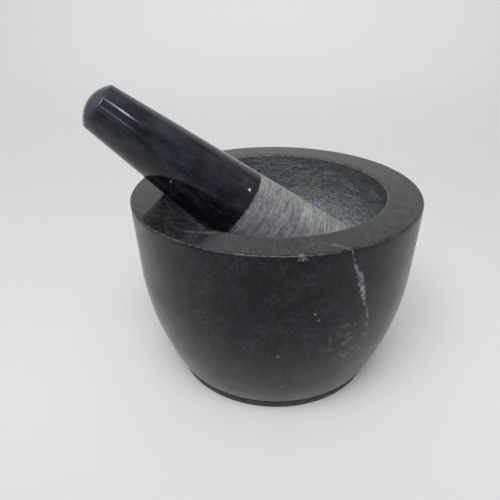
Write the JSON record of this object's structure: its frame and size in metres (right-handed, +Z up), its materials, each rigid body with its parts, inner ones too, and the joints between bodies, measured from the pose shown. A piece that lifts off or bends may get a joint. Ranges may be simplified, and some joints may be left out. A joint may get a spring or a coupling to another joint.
{
  "type": "mortar and pestle",
  "caption": "Turned dark stone mortar with a flat rim and low foot, and its tapered pestle leaning in the bowl, for grinding spices and salsas by hand.",
  "frame": {"origin": "centre of the foot's flat underside, on the mortar's turning axis and on the table", "axes": "+Z up along the mortar's turning axis; +X towards the side of the bowl that the pestle's grinding end points to, -X towards its grip; -Y is the front"},
  "size_m": [0.145, 0.13, 0.1342],
  "materials": {
    "mortar_stone": "honed outside and on the rim, matt and finely scored inside the bowl",
    "pestle_stone": "polished grip, matt ground grinding end with fine turning marks"
  },
  "bodies": {
    "mortar": {"mortar": "mortar_stone"},
    "pestle": {"pestle": "pestle_stone"}
  },
  "joints": [
    {"name": "pestle_lift", "type": "slide", "parent": "mortar", "child": "pestle", "axis": [0, 0, 1], "range_m": [0, 0.1]}
  ]
}
